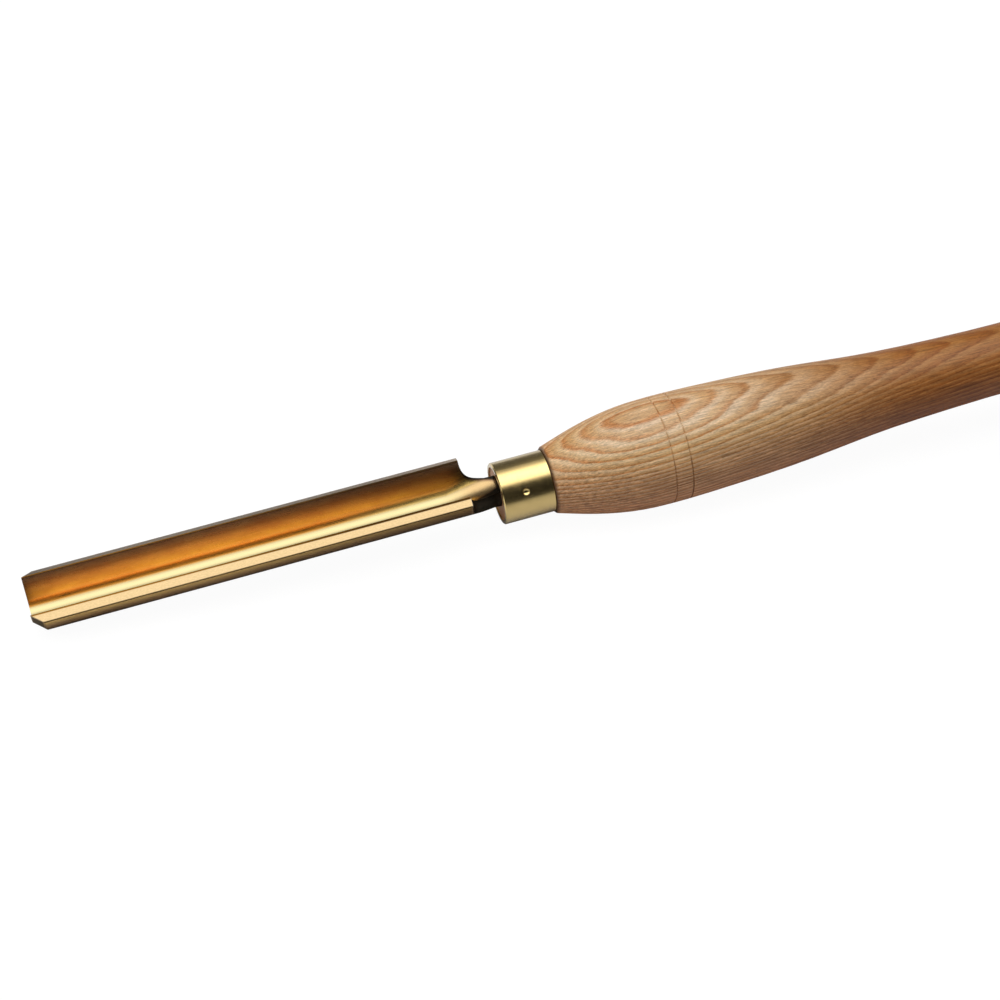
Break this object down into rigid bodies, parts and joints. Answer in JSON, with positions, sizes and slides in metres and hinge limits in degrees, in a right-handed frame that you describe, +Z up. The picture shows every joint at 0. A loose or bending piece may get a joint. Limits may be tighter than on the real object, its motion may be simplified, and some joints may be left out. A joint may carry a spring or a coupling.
{
  "type": "spindle roughing gouge",
  "caption": "Woodturning gouge: deep-fluted coated steel blade with a square-ground nose and a turned heel, brass ferrule and long turned ash handle with scribed lines.",
  "frame": {"origin": "on the handle's axis, at the ferrule's front end", "axes": "+X along the handle's axis towards the butt, +Z up, out of the flute's open side, +Y to the far side of the picture"},
  "size_m": [0.4809, 0.0412, 0.0412],
  "materials": {
    "blade": "ground, gold-coloured nitride coat",
    "ferrule": "satin",
    "handle": "satin varnish on ash"
  },
  "bodies": {
    "root": {"blade": "blade", "ferrule": "ferrule", "handle": "handle"}
  },
  "joints": []
}
